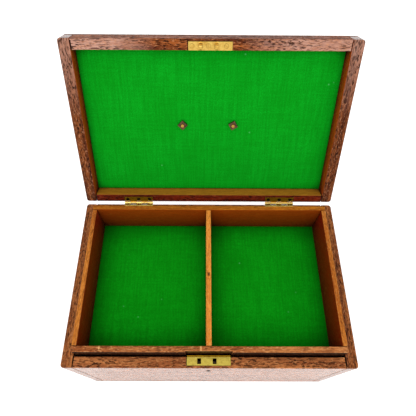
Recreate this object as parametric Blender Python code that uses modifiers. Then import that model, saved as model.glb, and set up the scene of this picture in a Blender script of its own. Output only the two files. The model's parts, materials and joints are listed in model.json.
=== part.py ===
"""A mahogany box with a hinged lid, a lift-out tray, a box lock and a bail handle.

Metres, +Z up. The origin is the middle of the carcass's underside, and the front faces -Y. The lid is laid
out as if it were shut, in the frame of an empty on the hinge axis, and that empty holds it open on its stop.
"""

import math

import bmesh
import bpy
from mathutils import Matrix, Vector

# Clearances
FIT = 0.0003            # between pieces that touch
JOINT_GAP = 0.0005      # the dry, slightly open joints between the boards
RUNNING = 0.0003        # round a pin that something turns on
OVERCUT = 0.002         # how far a cutter runs past the face it enters

# Carcass
BOX_WIDTH = 0.305
BOX_DEPTH = 0.191
CARCASS_HEIGHT = 0.145
SIDE_THICKNESS = 0.012
FRONT_THICKNESS = 0.0112
BACK_THICKNESS = 0.0098
BOTTOM_THICKNESS = 0.006
CORNER_RADIUS = 0.0032
EDGE_SOFTENING = 0.0007
CORNER_STEPS = 4
SOFTENING_STEPS = 2
SOFTENED_ANGLE = math.radians(40.0)  # edges sharper than this are softened
CREASE_ANGLE = math.radians(35.0)    # edges sharper than this stay crisp on round pieces
SAME_PLACE = 0.00001

# Lid
LID_GAP = 0.0004
LID_RAIL_HEIGHT = 0.0164
LID_PANEL_THICKNESS = 0.0041
OPEN_ANGLE = math.radians(117.5)
BAIZE_THICKNESS = 0.0009

# Tray
TRAY_HEADROOM = 0.0006   # between the raised tray and the shut lid's lining
TRAY_INNER_DEPTH = 0.0440
TRAY_SIDE_GAP = 0.0008
TRAY_BACK_GAP = 0.0005
TRAY_FRONT_GAP = 0.0016
TRAY_SIDE_WALL = 0.0052
TRAY_BACK_WALL = 0.0056
TRAY_FRONT_WALL = 0.0064
TRAY_FLOOR = 0.003
DIVIDER_THICKNESS = 0.0055
DIVIDER_OFFSET = -0.0008
TRAY_CORNER_RADIUS = 0.002
BEARER_WIDTH = 0.008
BEARER_HEIGHT = 0.010

# Butt hinges
HINGE_END = 0.0472      # from the box's end to the hinge
HINGE_LENGTH = 0.035
LEAF_REACH = 0.0066     # from the back face in over the rim
LEAF_THICKNESS = 0.0012
KNUCKLE_RADIUS = 0.0017
KNUCKLE_STANDOFF = 0.0002
KNUCKLE_COUNT = 5
HINGE_PIN_RADIUS = 0.0008
HINGE_SCREW_END = 0.004  # from the leaf's end to its outer screws
HINGE_SCREW_INSET = 0.0030
HINGE_SLOT_TURN = math.radians(37.0)

# Screws
SCREW_HEAD_RADIUS = 0.0021
SCREW_HEAD_HEIGHT = 0.0011
SCREW_SHANK_RADIUS = 0.0009
SCREW_LENGTH = 0.0072
SCREW_SINK = 0.0001     # how far the head lies below the metal round it
SLOT_WIDTH = 0.0005
SLOT_DEPTH = 0.0005
ROUND_STEPS = 16
FINE_PIN_STEPS = 12

# Lock and strike
LOCK_OFFSET = -0.0009
LOCK_WIDTH = 0.045
STRIKE_WIDTH = 0.044
SELVAGE_INSET = 0.0027  # wood left between the plate and the front face
SELVAGE_MARGIN = 0.0002  # from the plate to the front board's inner face
SELVAGE_THICKNESS = 0.0015
STRIKE_THICKNESS = 0.0012
STAPLE_PITCH = 0.0159
STRIKE_SCREW_ENDS = (0.0037, 0.0060)
STRIKE_SLOT_TURN = math.radians(50.0)
STAPLE_WIDTH = 0.003
STAPLE_DEPTH = 0.0044
STAPLE_DROP = 0.0086    # below the carcass's rim when the lid is shut
STAPLE_ROOT = 0.0015
STAPLE_ROUNDING = 0.0012
EYE_DEPTH = 0.0022
EYE_TOP = 0.0022        # below the rim
EYE_BOTTOM = 0.0068
STAPLE_CLEARANCE = 0.0005
LOCK_CASE_MARGIN = 0.001  # the case is this much shorter than the plate at each end
LOCK_CASE_HEIGHT = 0.029
LOCK_CASE_WALL = 0.001
BACKPLATE_THICKNESS = 0.0012
BACKPLATE_HEIGHT = 0.0348
LOCK_SCREW_END = 0.0055
LOCK_SCREW_RISE = 0.0027
LOCK_SLOT_TURN = math.radians(20.0)
RECESS_DEPTH = 0.0015   # in the tray's front wall, over the lock
KEYHOLE_RADIUS = 0.0022
KEYHOLE_SLOT = 0.0022
KEYHOLE_LENGTH = 0.010
KEYHOLE_DROP = 0.018    # from the rim to the keyhole's top
DRILL_PIN_RADIUS = 0.0008
BOLT_THROW = 0.0045
BOLT_END_CLEARANCE = 0.0005
BOLT_THICKNESS = 0.0016
BOLT_BAR_HEIGHT = 0.0056
BOLT_POST_WIDTH = 0.0034
BOLT_TALON_WIDTH = 0.003
BOLT_TALON_DEPTH = 0.002
SPRING_THICKNESS = 0.0004
SPRING_RUN = 0.011
SPRING_DROP = 0.003
SPRING_STEPS = 8

# Handle
HANDLE_SPACING = 0.0578
HANDLE_OFFSET = -0.0024
HANDLE_AXIS_HEIGHT = 0.008
BAIL_RADIUS = 0.0019
BAIL_REACH = 0.026
BAIL_OVERHANG = 0.0072  # the arms stand this far outside the posts
BAIL_PIN_REACH = 0.0052
BAIL_TOP_BEND = 0.0035
BAIL_GRIP_BEND = 0.009
BAIL_BEND_STEPS = 6
BAIL_ROUND_STEPS = 3
POST_FLANGE_RADIUS = 0.0062
POST_FLANGE_HEIGHT = 0.0015
POST_NECK_RADIUS = 0.0031
POST_HEAD_RADIUS = 0.0044
POST_HEAD_STEPS = 8
POST_SHANK_RADIUS = 0.0019
NUT_WIDTH = 0.0080
NUT_THICKNESS = 0.0026
NUT_TURNS = (math.radians(45.0), math.radians(60.0))
THREAD_STANDOUT = 0.0013

# Places that follow from the sizes above
SIDE_X = BOX_WIDTH / 2
FRONT_Y = -BOX_DEPTH / 2
BACK_Y = BOX_DEPTH / 2
INNER_X = SIDE_X - SIDE_THICKNESS
INNER_FRONT_Y = FRONT_Y + FRONT_THICKNESS
INNER_BACK_Y = BACK_Y - BACK_THICKNESS
RIM_Z = CARCASS_HEIGHT
LID_RIM_Z = RIM_Z + LID_GAP
PANEL_Z = LID_RIM_Z + LID_RAIL_HEIGHT + FIT
LID_TOP_Z = PANEL_Z + LID_PANEL_THICKNESS
LID_BAIZE_Z = PANEL_Z - FIT - BAIZE_THICKNESS
HINGE_Y = BACK_Y + KNUCKLE_RADIUS + KNUCKLE_STANDOFF
HINGE_Z = RIM_Z + LID_GAP / 2
LEAF_Y = BACK_Y - LEAF_REACH
HINGE_OFFSET = SIDE_X - HINGE_END - HINGE_LENGTH / 2
HINGE_SCREW_SPREAD = HINGE_LENGTH / 2 - HINGE_SCREW_END
CASE_KNUCKLES = range(0, KNUCKLE_COUNT, 2)
LID_KNUCKLES = range(1, KNUCKLE_COUNT, 2)

TRAY_RISE = LID_BAIZE_Z - TRAY_HEADROOM - RIM_Z
TRAY_TOP_Z = RIM_Z + TRAY_RISE
TRAY_BAIZE_Z = TRAY_TOP_Z - TRAY_INNER_DEPTH - BAIZE_THICKNESS
TRAY_FLOOR_Z = TRAY_BAIZE_Z - FIT - TRAY_FLOOR
TRAY_X = INNER_X - TRAY_SIDE_GAP
TRAY_FRONT_Y = INNER_FRONT_Y + TRAY_FRONT_GAP
TRAY_BACK_Y = INNER_BACK_Y - TRAY_BACK_GAP

SELVAGE_Y = FRONT_Y + SELVAGE_INSET
SELVAGE_DEPTH = FRONT_THICKNESS - SELVAGE_INSET - SELVAGE_MARGIN
STAPLE_Y = SELVAGE_Y + SELVAGE_DEPTH / 2
LOCK_TOP_Z = RIM_Z - SELVAGE_THICKNESS - FIT
LOCK_CASE_Y = STAPLE_Y - STAPLE_DEPTH / 2 - STAPLE_CLEARANCE - LOCK_CASE_WALL
LOCK_CASE_WIDTH = LOCK_WIDTH - 2 * LOCK_CASE_MARGIN
LOCK_SCREW_SPREAD = LOCK_WIDTH / 2 - LOCK_SCREW_END
BACKPLATE_Y = INNER_FRONT_Y + FIT
KEYHOLE_Z = RIM_Z - KEYHOLE_DROP - KEYHOLE_RADIUS
FINGER_TOP_Z = RIM_Z - EYE_TOP - STAPLE_CLEARANCE
FINGER_BOTTOM_Z = RIM_Z - EYE_BOTTOM + STAPLE_CLEARANCE
BAR_TOP_Z = RIM_Z - STAPLE_DROP - STAPLE_CLEARANCE
TIP_GAP = (BOLT_THROW - STAPLE_WIDTH) / 2
BOLT_ROOM = LOCK_CASE_WIDTH / 2 - LOCK_CASE_WALL - BOLT_END_CLEARANCE
FIRST_STAPLE = BOLT_POST_WIDTH + BOLT_THROW + TIP_GAP + STAPLE_WIDTH / 2 - BOLT_ROOM
STAPLE_OFFSETS = (FIRST_STAPLE, FIRST_STAPLE + STAPLE_PITCH)
STRIKE_SCREW_OFFSETS = (STRIKE_SCREW_ENDS[0] - STRIKE_WIDTH / 2, FIRST_STAPLE + STAPLE_PITCH / 2,
                        STRIKE_WIDTH / 2 - STRIKE_SCREW_ENDS[1])

DOWN = Matrix.Rotation(math.pi, 4, "X")
TO_FRONT = Matrix.Rotation(-math.pi / 2, 4, "X")


# ---- Scene, materials and helpers

def clear_scene():
    for obj in list(bpy.data.objects):
        bpy.data.objects.remove(obj, do_unlink=True)


def new_collection(name):
    collection = bpy.data.collections.new(name)
    bpy.context.scene.collection.children.link(collection)
    return collection


def finish(name, colour, roughness, metallic=0.0):
    """A plain material: the surface finish of one kind of piece."""
    material = bpy.data.materials.new(name)
    material.use_nodes = True
    shader = material.node_tree.nodes["Principled BSDF"]
    shader.inputs["Base Color"].default_value = (*colour, 1.0)
    shader.inputs["Roughness"].default_value = roughness
    shader.inputs["Metallic"].default_value = metallic
    return material


clear_scene()
PARTS = new_collection("wooden_box")
CUTTERS = new_collection("cutters")
MAHOGANY = finish("mahogany", (0.16, 0.055, 0.028), 0.35)
TRAY_WOOD = finish("tray_wood", (0.32, 0.13, 0.05), 0.45)
BAIZE = finish("baize", (0.01, 0.25, 0.02), 0.95)
BRASS = finish("brass", (0.72, 0.52, 0.20), 0.3, 1.0)
AGED_BRASS = finish("aged_brass", (0.42, 0.30, 0.12), 0.45, 1.0)
STEEL = finish("steel", (0.35, 0.33, 0.31), 0.4, 1.0)


class Rig:
    """A moving body: an empty on its joint, which carries pieces laid out in the shut box's frame."""

    def __init__(self, name=None, origin=(0.0, 0.0, 0.0), parent=None, turn=0.0):
        self.origin = Vector(origin)
        self.empty = None
        if name:
            self.empty = bpy.data.objects.new(name, None)
            PARTS.objects.link(self.empty)
            self.empty.location = self.origin - (parent.origin if parent else Vector())
            self.empty.rotation_euler.x = turn
            self.empty.parent = parent.empty if parent else None

    def place(self, obj, point, turn=Matrix()):
        obj.parent = self.empty
        obj.matrix_local = Matrix.Translation(Vector(point) - self.origin) @ turn
        return obj


CASE = Rig()
LID = Rig("lid_hinge", (0.0, HINGE_Y, HINGE_Z), turn=-OPEN_ANGLE)
TRAY = Rig("tray_lift", (0.0, 0.0, TRAY_FLOOR_Z))
HANDLE = Rig("handle_swing", (HANDLE_OFFSET, 0.0, LID_TOP_Z + HANDLE_AXIS_HEIGHT), LID, OPEN_ANGLE)
BOLT = Rig("lock_bolt_slide", (LOCK_OFFSET, STAPLE_Y, BAR_TOP_Z))


def mesh_from(bm, name):
    mesh = bpy.data.meshes.new(name)
    bmesh.ops.recalc_face_normals(bm, faces=bm.faces)
    bm.to_mesh(mesh)
    bm.free()
    return mesh


def add_piece(name, data, material, rig, point, turn=Matrix()):
    obj = bpy.data.objects.new(name, data)
    data.materials.clear()
    data.materials.append(material)
    PARTS.objects.link(obj)
    return rig.place(obj, point, turn)


def block_mesh(name, size, corners=(), radius=0.0, axis=2):
    """A block round its own middle; corners are the signs of the edges along axis that are rounded."""
    bm = bmesh.new()
    bmesh.ops.create_cube(bm, size=1.0, matrix=Matrix.Diagonal((*size, 1.0)))
    across = [i for i in range(3) if i != axis]
    edges = []
    for edge in bm.edges:
        middle = (edge.verts[0].co + edge.verts[1].co) / 2
        if abs(middle[axis]) > SAME_PLACE:
            continue
        signs = tuple(1 if middle[i] > 0 else -1 for i in across)
        if signs in corners:
            edges.append(edge)
    if edges:
        bmesh.ops.bevel(bm, geom=edges, offset=radius, segments=CORNER_STEPS, profile=0.5, affect="EDGES")
    return mesh_from(bm, name)


def block(name, low, high, material, rig, softening=0.0, corners=(), radius=0.0, axis=2):
    """A block from its low to its high corner, in the shut box's frame."""
    low, high = Vector(low), Vector(high)
    mesh = block_mesh(name, high - low, corners, radius, axis)
    obj = add_piece(name, mesh, material, rig, (low + high) / 2)
    if softening:
        bevel = obj.modifiers.new("softened_edges", "BEVEL")
        bevel.width = softening
        bevel.segments = SOFTENING_STEPS
        bevel.limit_method = "ANGLE"
        bevel.angle_limit = SOFTENED_ANGLE
    return obj


def add_cutter(mesh, rig, point, turn=Matrix()):
    obj = bpy.data.objects.new(mesh.name + "_cutter", mesh)
    obj.hide_render = True
    obj.display_type = "WIRE"
    CUTTERS.objects.link(obj)
    return rig.place(obj, point, turn)


def block_cutter(low, high, rig):
    low, high = Vector(low), Vector(high)
    return add_cutter(block_mesh("block", high - low), rig, (low + high) / 2)


def combine(obj, other, operation):
    modifier = obj.modifiers.new(other.name, "BOOLEAN")
    modifier.operation = operation
    modifier.solver = "EXACT"
    modifier.object = other


def cut(obj, *cutters):
    for cutter in cutters:
        combine(obj, cutter, "DIFFERENCE")


def rod_mesh(name, radius, length, axis="Z", steps=ROUND_STEPS):
    bm = bmesh.new()
    turns = {"X": Matrix.Rotation(math.pi / 2, 4, "Y"), "Y": TO_FRONT, "Z": Matrix()}
    bmesh.ops.create_cone(bm, cap_ends=True, segments=steps, radius1=radius, radius2=radius,
                          depth=length, matrix=turns[axis])
    return mesh_from(bm, name)


def smooth(obj):
    obj.data.shade_smooth()
    obj.data.set_sharp_from_angle(angle=CREASE_ANGLE)
    return obj


def turned_mesh(name, profile, slot=None):
    """A turned shape from its half profile of (radius, height), top to bottom, with an optional slot cut."""
    bm = bmesh.new()
    rail = [bm.verts.new((radius, 0.0, height)) for radius, height in profile]
    for above, below in zip(rail, rail[1:]):
        bm.edges.new((above, below))
    blank = bpy.data.meshes.new(name)
    bm.to_mesh(blank)
    bm.free()
    obj = bpy.data.objects.new(name + "_blank", blank)
    PARTS.objects.link(obj)
    screw = obj.modifiers.new("turned", "SCREW")
    screw.steps = ROUND_STEPS
    screw.render_steps = ROUND_STEPS
    screw.use_merge_vertices = True
    screw.merge_threshold = SAME_PLACE
    if slot:
        cut(obj, slot)
    graph = bpy.context.evaluated_depsgraph_get()
    mesh = bpy.data.meshes.new_from_object(obj.evaluated_get(graph))
    mesh.name = name
    bpy.data.objects.remove(obj, do_unlink=True)
    bm = bmesh.new()
    bm.from_mesh(mesh)
    bmesh.ops.recalc_face_normals(bm, faces=bm.faces)
    bm.to_mesh(mesh)
    bm.free()
    return mesh


# ---- Screws

def screw_profile(extra, above):
    """The screw's half profile, grown by extra, with its head carried on upwards by above."""
    head = SCREW_HEAD_RADIUS + extra
    shank = SCREW_SHANK_RADIUS + extra
    profile = [(0.0, above), (head, above)]
    if above:
        profile.append((head, -SCREW_SINK))
    profile += [(shank, -SCREW_HEAD_HEIGHT), (shank, -SCREW_LENGTH - extra), (0.0, -SCREW_LENGTH - extra)]
    return profile


def make_screw_mesh():
    reach = SCREW_HEAD_RADIUS + FIT
    slot = block_cutter((-reach, -SLOT_WIDTH / 2, -SLOT_DEPTH), (reach, SLOT_WIDTH / 2, OVERCUT), CASE)
    mesh = turned_mesh("screw", screw_profile(0.0, 0.0), slot)
    bpy.data.objects.remove(slot, do_unlink=True)
    return mesh


SCREW_MESH = make_screw_mesh()
SCREW_HOLE_MESH = turned_mesh("screw_hole", screw_profile(FIT, OVERCUT))


def fit_screw(name, point, turn, rig, material, slot_angle, *pieces):
    """Sinks a screw into the pieces it holds together; turn points its head away from them."""
    sunk = turn @ Matrix.Translation((0.0, 0.0, -SCREW_SINK)) @ Matrix.Rotation(slot_angle, 4, "Z")
    smooth(add_piece(name, SCREW_MESH.copy(), material, rig, point, sunk))
    hole = add_cutter(SCREW_HOLE_MESH, rig, point, turn)
    for piece in pieces:
        cut(piece, hole)


# ---- Carcass

def make_carcass():
    block("bottom_board", (-SIDE_X, FRONT_Y, 0.0), (SIDE_X, BACK_Y, BOTTOM_THICKNESS), MAHOGANY, CASE,
          EDGE_SOFTENING, ((-1, -1), (-1, 1), (1, -1), (1, 1)), CORNER_RADIUS)
    base = BOTTOM_THICKNESS + FIT
    for side, sign in (("left", -1), ("right", 1)):
        xs = sorted((sign * INNER_X, sign * SIDE_X))
        block("side_board_" + side, (xs[0], FRONT_Y, base), (xs[1], BACK_Y, RIM_Z), MAHOGANY, CASE,
              EDGE_SOFTENING, ((sign, -1), (sign, 1)), CORNER_RADIUS)
    across = INNER_X - JOINT_GAP
    front = block("front_board", (-across, FRONT_Y, base), (across, INNER_FRONT_Y, RIM_Z), MAHOGANY, CASE,
                  EDGE_SOFTENING)
    back = block("back_board", (-across, INNER_BACK_Y, base), (across, BACK_Y, RIM_Z), MAHOGANY, CASE,
                 EDGE_SOFTENING)
    return front, back


def make_bearers():
    top = TRAY_FLOOR_Z - FIT
    for side, sign in (("left", -1), ("right", 1)):
        xs = sorted((sign * (INNER_X - FIT), sign * (INNER_X - FIT - BEARER_WIDTH)))
        block("tray_bearer_" + side, (xs[0], INNER_FRONT_Y + JOINT_GAP, top - BEARER_HEIGHT),
              (xs[1], INNER_BACK_Y - JOINT_GAP, top), MAHOGANY, CASE, EDGE_SOFTENING)


# ---- Lid

def make_lid():
    for side, sign in (("left", -1), ("right", 1)):
        xs = sorted((sign * INNER_X, sign * SIDE_X))
        block("lid_rail_" + side, (xs[0], FRONT_Y, LID_RIM_Z), (xs[1], BACK_Y, PANEL_Z - FIT), MAHOGANY, LID,
              EDGE_SOFTENING, ((sign, -1), (sign, 1)), CORNER_RADIUS)
    across = INNER_X - JOINT_GAP
    front = block("lid_rail_front", (-across, FRONT_Y, LID_RIM_Z), (across, INNER_FRONT_Y, PANEL_Z - FIT),
                  MAHOGANY, LID, EDGE_SOFTENING)
    back = block("lid_rail_back", (-across, INNER_BACK_Y, LID_RIM_Z), (across, BACK_Y, PANEL_Z - FIT),
                 MAHOGANY, LID, EDGE_SOFTENING)
    panel = block("lid_panel", (-SIDE_X, FRONT_Y, PANEL_Z), (SIDE_X, BACK_Y, LID_TOP_Z), MAHOGANY, LID,
                  EDGE_SOFTENING, ((-1, -1), (-1, 1), (1, -1), (1, 1)), CORNER_RADIUS)
    lining = block("lid_baize", (-across, INNER_FRONT_Y + JOINT_GAP, LID_BAIZE_Z),
                   (across, INNER_BACK_Y - JOINT_GAP, PANEL_Z - FIT), BAIZE, LID)
    return front, back, panel, lining


# ---- Butt hinges

def make_leaf(name, middle, side, low_z, own_knuckles):
    """One leaf of a hinge: its plate and the knuckles it owns, bored for the pin."""
    rig, material = side
    half = HINGE_LENGTH / 2
    leaf = block(name, (middle - half, LEAF_Y, low_z), (middle + half, HINGE_Y, low_z + LEAF_THICKNESS),
                 material, rig)
    axis = (middle, HINGE_Y, HINGE_Z)
    combine(leaf, add_cutter(rod_mesh("barrel", KNUCKLE_RADIUS, HINGE_LENGTH, "X"), rig, axis), "UNION")
    pitch = HINGE_LENGTH / KNUCKLE_COUNT
    clear = KNUCKLE_RADIUS + RUNNING
    for knuckle in range(KNUCKLE_COUNT):
        if knuckle in own_knuckles:
            continue
        start = middle - half + knuckle * pitch
        first = start - (FIT / 2 if knuckle else OVERCUT)
        last = start + pitch + (FIT / 2 if knuckle < KNUCKLE_COUNT - 1 else OVERCUT)
        cut(leaf, block_cutter((first, HINGE_Y - clear, HINGE_Z - 2 * clear),
                               (last, HINGE_Y + 2 * clear, HINGE_Z + 2 * clear), rig))
    bore = rod_mesh("bore", HINGE_PIN_RADIUS + RUNNING, HINGE_LENGTH + 2 * OVERCUT, "X")
    cut(leaf, add_cutter(bore, rig, axis))
    return smooth(leaf)


def let_in(board, middle, low_z, high_z, rig):
    """The shallow housing that a leaf lies in."""
    half = HINGE_LENGTH / 2 + FIT
    cut(board, block_cutter((middle - half, LEAF_Y - FIT, low_z), (middle + half, BACK_Y + OVERCUT, high_z),
                            rig))


def make_hinge(side, sign, back_board, back_rail):
    middle = sign * HINGE_OFFSET
    case_leaf = make_leaf("hinge_case_leaf_" + side, middle, (CASE, AGED_BRASS), RIM_Z - LEAF_THICKNESS,
                          CASE_KNUCKLES)
    lid_leaf = make_leaf("hinge_lid_leaf_" + side, middle, (LID, AGED_BRASS), LID_RIM_Z, LID_KNUCKLES)
    pin = rod_mesh("hinge_pin", HINGE_PIN_RADIUS, HINGE_LENGTH, "X", FINE_PIN_STEPS)
    smooth(add_piece("hinge_pin_" + side, pin, BRASS, CASE, (middle, HINGE_Y, HINGE_Z)))
    let_in(back_board, middle, RIM_Z - LEAF_THICKNESS - FIT, RIM_Z + OVERCUT, CASE)
    let_in(back_rail, middle, LID_RIM_Z - OVERCUT, LID_RIM_Z + LEAF_THICKNESS + FIT, LID)
    for number, step in enumerate((-1, 0, 1), 1):
        x = middle + step * HINGE_SCREW_SPREAD
        y = BACK_Y - HINGE_SCREW_INSET
        slot_angle = HINGE_SLOT_TURN * number * sign
        fit_screw(f"case_leaf_screw_{side}_{number}", (x, y, RIM_Z), Matrix(), CASE, STEEL, slot_angle,
                  case_leaf, back_board)
        fit_screw(f"lid_leaf_screw_{side}_{number}", (x, y, LID_RIM_Z), DOWN, LID, STEEL, slot_angle,
                  lid_leaf, back_rail)


# ---- Strike on the lid

def make_strike(front_rail):
    half = STRIKE_WIDTH / 2
    high = LID_RIM_Z + STRIKE_THICKNESS
    strike = block("strike_plate", (LOCK_OFFSET - half, SELVAGE_Y, LID_RIM_Z),
                   (LOCK_OFFSET + half, SELVAGE_Y + SELVAGE_DEPTH, high), BRASS, LID)
    cut(front_rail, block_cutter((LOCK_OFFSET - half - FIT, SELVAGE_Y - FIT, LID_RIM_Z - OVERCUT),
                                 (LOCK_OFFSET + half + FIT, SELVAGE_Y + SELVAGE_DEPTH + FIT, high + FIT),
                                 LID))
    for side, offset in zip(("left", "right"), STAPLE_OFFSETS):
        make_staple("staple_" + side, LOCK_OFFSET + offset, high + STAPLE_ROOT, strike, front_rail)
    for number, offset in enumerate(STRIKE_SCREW_OFFSETS, 1):
        fit_screw(f"strike_screw_{number}", (LOCK_OFFSET + offset, STAPLE_Y, LID_RIM_Z), DOWN, LID, AGED_BRASS,
                  STRIKE_SLOT_TURN * number, strike, front_rail)


def make_staple(name, x, top, strike, front_rail):
    """A flat staple whose root sits in the strike plate and whose eye takes the lock's bolt."""
    half_x, half_y = STAPLE_WIDTH / 2, STAPLE_DEPTH / 2
    low = RIM_Z - STAPLE_DROP
    staple = block(name, (x - half_x, STAPLE_Y - half_y, low), (x + half_x, STAPLE_Y + half_y, top), BRASS,
                   LID, corners=((-1, -1), (1, -1)), radius=STAPLE_ROUNDING, axis=0)
    reach = half_x + OVERCUT
    cut(staple, block_cutter((x - reach, STAPLE_Y - EYE_DEPTH / 2, RIM_Z - EYE_BOTTOM),
                             (x + reach, STAPLE_Y + EYE_DEPTH / 2, RIM_Z - EYE_TOP), LID))
    seat = block_cutter((x - half_x - FIT, STAPLE_Y - half_y - FIT, LID_RIM_Z - OVERCUT),
                        (x + half_x + FIT, STAPLE_Y + half_y + FIT, top + FIT), LID)
    cut(strike, seat)
    cut(front_rail, seat)


# ---- Box lock

def keyhole_cutters():
    """A round hole over a slot, both running from front to back."""
    low_y, high_y = FRONT_Y - OVERCUT, INNER_FRONT_Y - LOCK_CASE_WALL
    middle = (LOCK_OFFSET, (low_y + high_y) / 2, KEYHOLE_Z)
    hole = add_cutter(rod_mesh("keyhole", KEYHOLE_RADIUS, high_y - low_y, "Y"), CASE, middle)
    low_z = RIM_Z - KEYHOLE_DROP - KEYHOLE_LENGTH
    slot = block_cutter((LOCK_OFFSET - KEYHOLE_SLOT / 2, low_y, low_z),
                        (LOCK_OFFSET + KEYHOLE_SLOT / 2, high_y, KEYHOLE_Z), CASE)
    return hole, slot


def make_selvage(front_board):
    half = LOCK_WIDTH / 2
    low_z = RIM_Z - SELVAGE_THICKNESS
    back_y = SELVAGE_Y + SELVAGE_DEPTH
    selvage = block("lock_selvage", (LOCK_OFFSET - half, SELVAGE_Y, low_z), (LOCK_OFFSET + half, back_y, RIM_Z),
                    BRASS, CASE)
    reach_x = STAPLE_WIDTH / 2 + STAPLE_CLEARANCE
    reach_y = STAPLE_DEPTH / 2 + STAPLE_CLEARANCE
    for offset in STAPLE_OFFSETS:
        x = LOCK_OFFSET + offset
        cut(selvage, block_cutter((x - reach_x, STAPLE_Y - reach_y, low_z - OVERCUT),
                                  (x + reach_x, STAPLE_Y + reach_y, RIM_Z + OVERCUT), CASE))
    cut(front_board, block_cutter((LOCK_OFFSET - half - FIT, SELVAGE_Y - FIT, LOCK_TOP_Z),
                                  (LOCK_OFFSET + half + FIT, INNER_FRONT_Y + OVERCUT, RIM_Z + OVERCUT), CASE))


def make_lock_case(front_board, keyhole):
    """The shell let into the front board, open to the plate over it and to the one behind it."""
    half = LOCK_CASE_WIDTH / 2
    low_z = LOCK_TOP_Z - LOCK_CASE_HEIGHT
    case = block("lock_case", (LOCK_OFFSET - half, LOCK_CASE_Y, low_z),
                 (LOCK_OFFSET + half, INNER_FRONT_Y, LOCK_TOP_Z), AGED_BRASS, CASE)
    wall = LOCK_CASE_WALL
    cut(case, block_cutter((LOCK_OFFSET - half + wall, LOCK_CASE_Y + wall, low_z + wall),
                           (LOCK_OFFSET + half - wall, INNER_FRONT_Y + OVERCUT, LOCK_TOP_Z + OVERCUT), CASE))
    cut(case, *keyhole)
    cut(front_board, block_cutter((LOCK_OFFSET - half - FIT, LOCK_CASE_Y - FIT, low_z - FIT),
                                  (LOCK_OFFSET + half + FIT, INNER_FRONT_Y + OVERCUT, RIM_Z), CASE))


def make_backplate(front_board):
    half = LOCK_WIDTH / 2
    low_z = LOCK_TOP_Z - BACKPLATE_HEIGHT
    back_y = BACKPLATE_Y + BACKPLATE_THICKNESS
    plate = block("lock_backplate", (LOCK_OFFSET - half, BACKPLATE_Y, low_z),
                  (LOCK_OFFSET + half, back_y, LOCK_TOP_Z), AGED_BRASS, CASE)
    for side, sign in (("left", -1), ("right", 1)):
        point = (LOCK_OFFSET + sign * LOCK_SCREW_SPREAD, back_y, low_z + LOCK_SCREW_RISE)
        fit_screw("lock_screw_" + side, point, TO_FRONT, CASE, AGED_BRASS, LOCK_SLOT_TURN * sign, plate,
                  front_board)
    length = BACKPLATE_Y - FIT - (LOCK_CASE_Y + LOCK_CASE_WALL)
    pin = rod_mesh("lock_drill_pin", DRILL_PIN_RADIUS, length, "Y", FINE_PIN_STEPS)
    smooth(add_piece("lock_drill_pin", pin, STEEL, CASE, (LOCK_OFFSET, BACKPLATE_Y - FIT - length / 2, KEYHOLE_Z)))


def make_bolt():
    """A bar under the staples with a hooked finger for each staple's eye."""
    half_y = BOLT_THICKNESS / 2
    low_y, high_y = STAPLE_Y - half_y, STAPLE_Y + half_y
    tips = [LOCK_OFFSET + offset - STAPLE_WIDTH / 2 - TIP_GAP for offset in STAPLE_OFFSETS]
    start = tips[0] - BOLT_THROW - BOLT_POST_WIDTH
    end = LOCK_OFFSET + BOLT_ROOM - BOLT_THROW
    bar_low = BAR_TOP_Z - BOLT_BAR_HEIGHT
    bolt = block("lock_bolt", (start, low_y, bar_low), (end, high_y, FINGER_TOP_Z), AGED_BRASS, BOLT)
    wide_y = (low_y - OVERCUT, high_y + OVERCUT)
    for tip, stop in zip(tips, (tips[1] - BOLT_THROW - BOLT_POST_WIDTH, end + OVERCUT)):
        root = tip - BOLT_THROW
        cut(bolt, block_cutter((root, wide_y[0], BAR_TOP_Z), (stop, wide_y[1], FINGER_BOTTOM_Z), BOLT))
        cut(bolt, block_cutter((tip, wide_y[0], BAR_TOP_Z), (stop, wide_y[1], FINGER_TOP_Z + OVERCUT), BOLT))
    talon = BOLT_TALON_WIDTH / 2
    cut(bolt, block_cutter((LOCK_OFFSET - talon, wide_y[0], bar_low - OVERCUT),
                           (LOCK_OFFSET + talon, wide_y[1], bar_low + BOLT_TALON_DEPTH), BOLT))
    return bar_low


def make_spring(bar_low):
    """A leaf spring that bears up on the bolt and keeps it where the key left it."""
    start = LOCK_OFFSET + LOCK_CASE_WIDTH / 2 - LOCK_CASE_WALL - FIT
    top = bar_low - FIT - SPRING_THICKNESS / 2
    half_y = BOLT_THICKNESS / 2
    bm = bmesh.new()
    rows = []
    for step in range(SPRING_STEPS + 1):
        share = step / SPRING_STEPS
        height = -SPRING_DROP * (1.0 - math.sin(share * math.pi / 2))
        rows.append([bm.verts.new((-SPRING_RUN * share, y, height)) for y in (-half_y, half_y)])
    for near, far in zip(rows, rows[1:]):
        bm.faces.new((near[0], near[1], far[1], far[0]))
    spring = add_piece("lock_spring", mesh_from(bm, "lock_spring"), STEEL, CASE, (start, STAPLE_Y, top))
    sheet = spring.modifiers.new("sheet", "SOLIDIFY")
    sheet.thickness = SPRING_THICKNESS
    sheet.offset = 0.0


def make_lock(front_board):
    keyhole = keyhole_cutters()
    cut(front_board, *keyhole)
    make_selvage(front_board)
    make_lock_case(front_board, keyhole)
    make_backplate(front_board)
    make_spring(make_bolt())


# ---- Tray

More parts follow.
